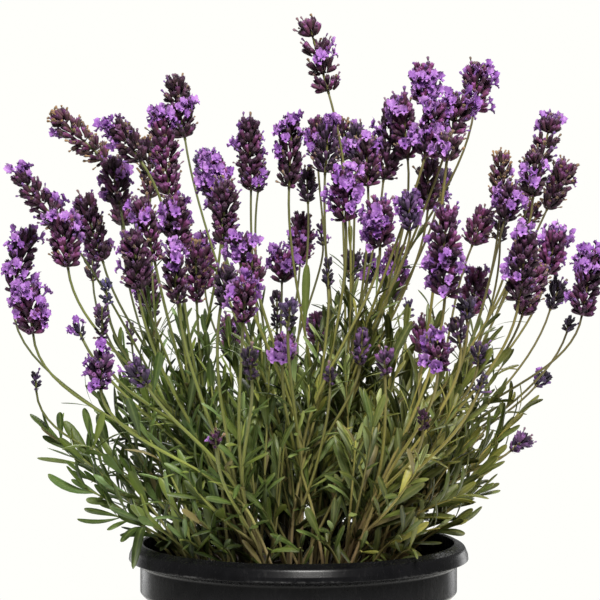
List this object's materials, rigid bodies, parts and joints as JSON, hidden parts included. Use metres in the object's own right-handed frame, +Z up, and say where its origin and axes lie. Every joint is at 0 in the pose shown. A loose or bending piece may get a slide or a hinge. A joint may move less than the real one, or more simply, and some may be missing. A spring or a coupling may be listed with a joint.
{
  "type": "potted lavender",
  "caption": "Bushy lavender with slender stalks and violet flower heads, growing in a round black nursery pot with a flared rim, filled with potting soil.",
  "frame": {"origin": "centre of the pot's flat underside", "axes": "+Z up along the pot's axis; the picture looks along +Y, so the bush's front is on the -Y side"},
  "size_m": [0.3595, 0.3314, 0.4643],
  "materials": {
    "pot": "black moulded polypropylene with a soft sheen",
    "soil": "dark loose potting soil",
    "foliage": "matt grey-green leaves and olive stems, brown and woody at the root",
    "blossom": "dark purple downy calyces with open violet florets, brown where withered"
  },
  "bodies": {
    "root": {"pot": "pot", "soil": "soil", "leafy_stem_01": "foliage", "leafy_stem_02": "foliage", "leafy_stem_03": "foliage", "leafy_stem_04": "foliage", "leafy_stem_05": "foliage", "leafy_stem_06": "foliage", "leafy_stem_07": "foliage", "leafy_stem_08": "foliage", "leafy_stem_09": "foliage", "leafy_stem_10": "foliage", "leafy_stem_11": "foliage", "leafy_stem_12": "foliage", "flower_head_01": "blossom", "flower_head_02": "blossom", "flower_head_03": "blossom", "flower_head_04": "blossom", "flower_head_05": "blossom", "flower_head_06": "blossom", "flower_head_07": "blossom", "flower_head_08": "blossom", "flower_head_09": "blossom", "flower_head_10": "blossom", "flower_head_11": "blossom", "flower_head_12": "blossom", "flower_head_13": "blossom", "flower_head_14": "blossom", "flower_head_15": "blossom", "flower_head_16": "blossom", "flower_head_17": "blossom", "flower_head_18": "blossom", "flower_head_19": "blossom", "flower_head_20": "blossom", "flower_head_21": "blossom", "flower_head_22": "blossom", "flower_head_23": "blossom", "flower_head_24": "blossom", "flower_head_25": "blossom", "flower_head_26": "blossom", "flower_head_27": "blossom", "flower_head_28": "blossom", "flower_head_29": "blossom", "flower_head_30": "blossom", "flower_head_31": "blossom", "flower_head_32": "blossom", "flower_head_33": "blossom", "flower_head_34": "blossom", "flower_head_35": "blossom", "flower_head_36": "blossom", "flower_head_37": "blossom", "flower_head_38": "blossom", "flower_head_39": "blossom", "flower_head_40": "blossom", "flower_head_41": "blossom", "flower_head_42": "blossom", "flower_head_43": "blossom", "flower_head_44": "blossom", "flower_head_45": "blossom", "flower_head_46": "blossom"}
  },
  "joints": []
}
